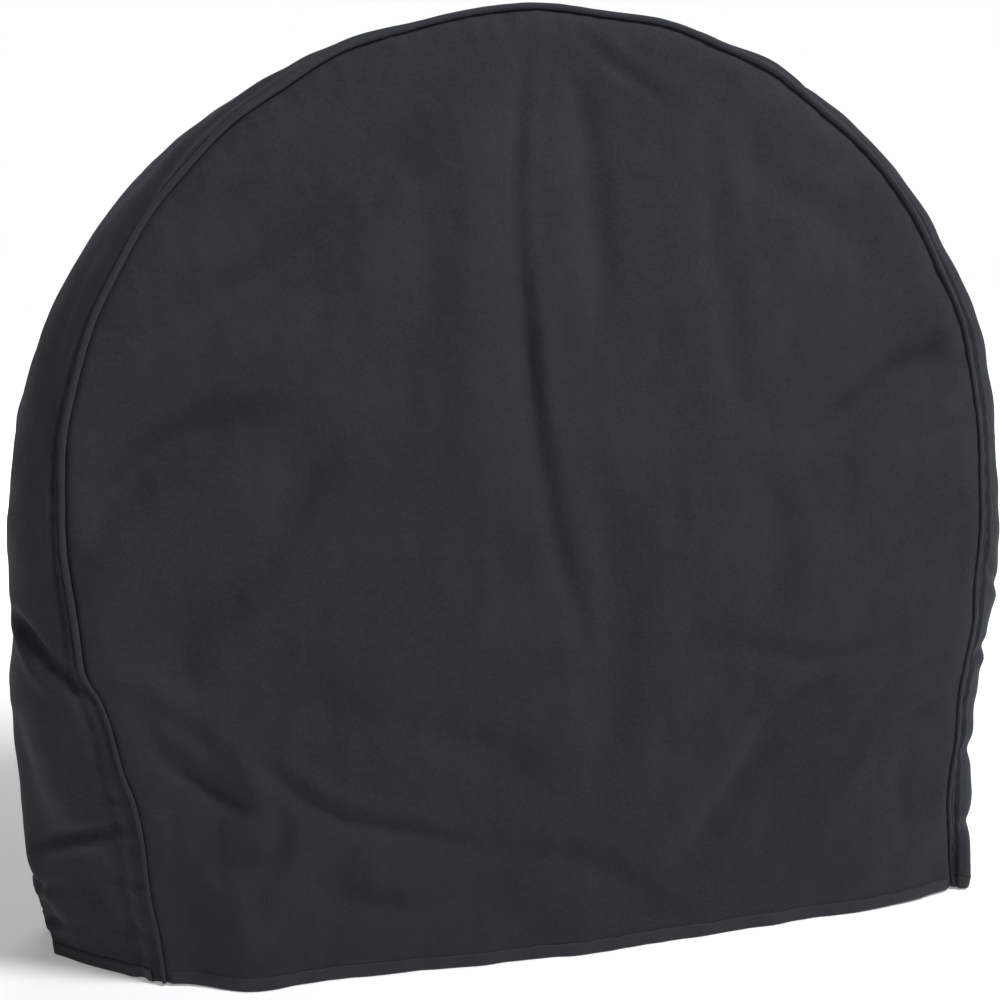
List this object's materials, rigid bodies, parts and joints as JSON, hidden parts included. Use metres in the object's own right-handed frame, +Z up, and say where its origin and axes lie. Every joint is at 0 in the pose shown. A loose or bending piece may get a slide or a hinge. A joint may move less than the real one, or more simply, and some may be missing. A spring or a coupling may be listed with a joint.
{
  "type": "wheel and tyre cover",
  "caption": "Slip-on woven cloth wheel cover with a round top, piped front edge, open foot, elastic rear opening and a rear strap with a side-release buckle.",
  "frame": {"origin": "on the ground, in the middle of the cover's width and of its whole depth", "axes": "+Z up; the front panel faces -Y; +X is to the right seen from the front"},
  "size_m": [0.7804, 0.232, 0.7262],
  "materials": {
    "shell_cloth": "plain-woven 600 denier polyester, charcoal, dull sheen",
    "piping_cloth": "bias-cut strip of the same woven polyester",
    "piping_filler": "round polyethylene welt cord",
    "seam_tape": "non-woven polypropylene binding",
    "hem_tape": "folded grosgrain polyester tape",
    "elastic_band": "braided flat elastic",
    "label_satin": "blank satin ribbon",
    "webbing": "25 mm ribbed polypropylene webbing",
    "buckle_plastic": "moulded black acetal, fine texture",
    "thread": "bonded polyester thread"
  },
  "bodies": {
    "cover": {"front_panel": "shell_cloth", "side_gusset": "shell_cloth", "back_panel": "shell_cloth", "front_piping_cover": "piping_cloth", "front_piping_cord": "piping_filler", "front_seam_binding": "seam_tape", "rear_seam_binding": "seam_tape", "front_hem_tape": "hem_tape", "side_hem_tapes": "hem_tape", "back_hem_tapes": "hem_tape", "elastic_casing": "shell_cloth", "rear_elastic": "elastic_band", "care_label": "label_satin", "left_strap_patch": "shell_cloth", "right_strap_patch": "shell_cloth", "socket_strap": "webbing", "plug_strap": "webbing", "buckle_socket": "buckle_plastic", "buckle_plug": "buckle_plastic", "bar_tacks": "thread"},
    "upper_release": {"upper_prong": "buckle_plastic"},
    "lower_release": {"lower_prong": "buckle_plastic"},
    "keeper": {"strap_keeper": "buckle_plastic"}
  },
  "joints": [
    {"name": "upper_prong_squeeze", "type": "hinge", "parent": "cover", "child": "upper_release", "pos_m": [0.0226, 0.1115, 0.085], "axis": [0, -1, 0], "range_deg": [0, 9], "stiffness_Nm_per_rad": 0.5},
    {"name": "lower_prong_squeeze", "type": "hinge", "parent": "cover", "child": "lower_release", "pos_m": [0.0226, 0.1115, 0.065], "axis": [0, 1, 0], "range_deg": [0, 9], "stiffness_Nm_per_rad": 0.5},
    {"name": "keeper_slide", "type": "slide", "parent": "cover", "child": "keeper", "axis": [1, 0, 0], "range_m": [-0.06, 0.065]}
  ]
}
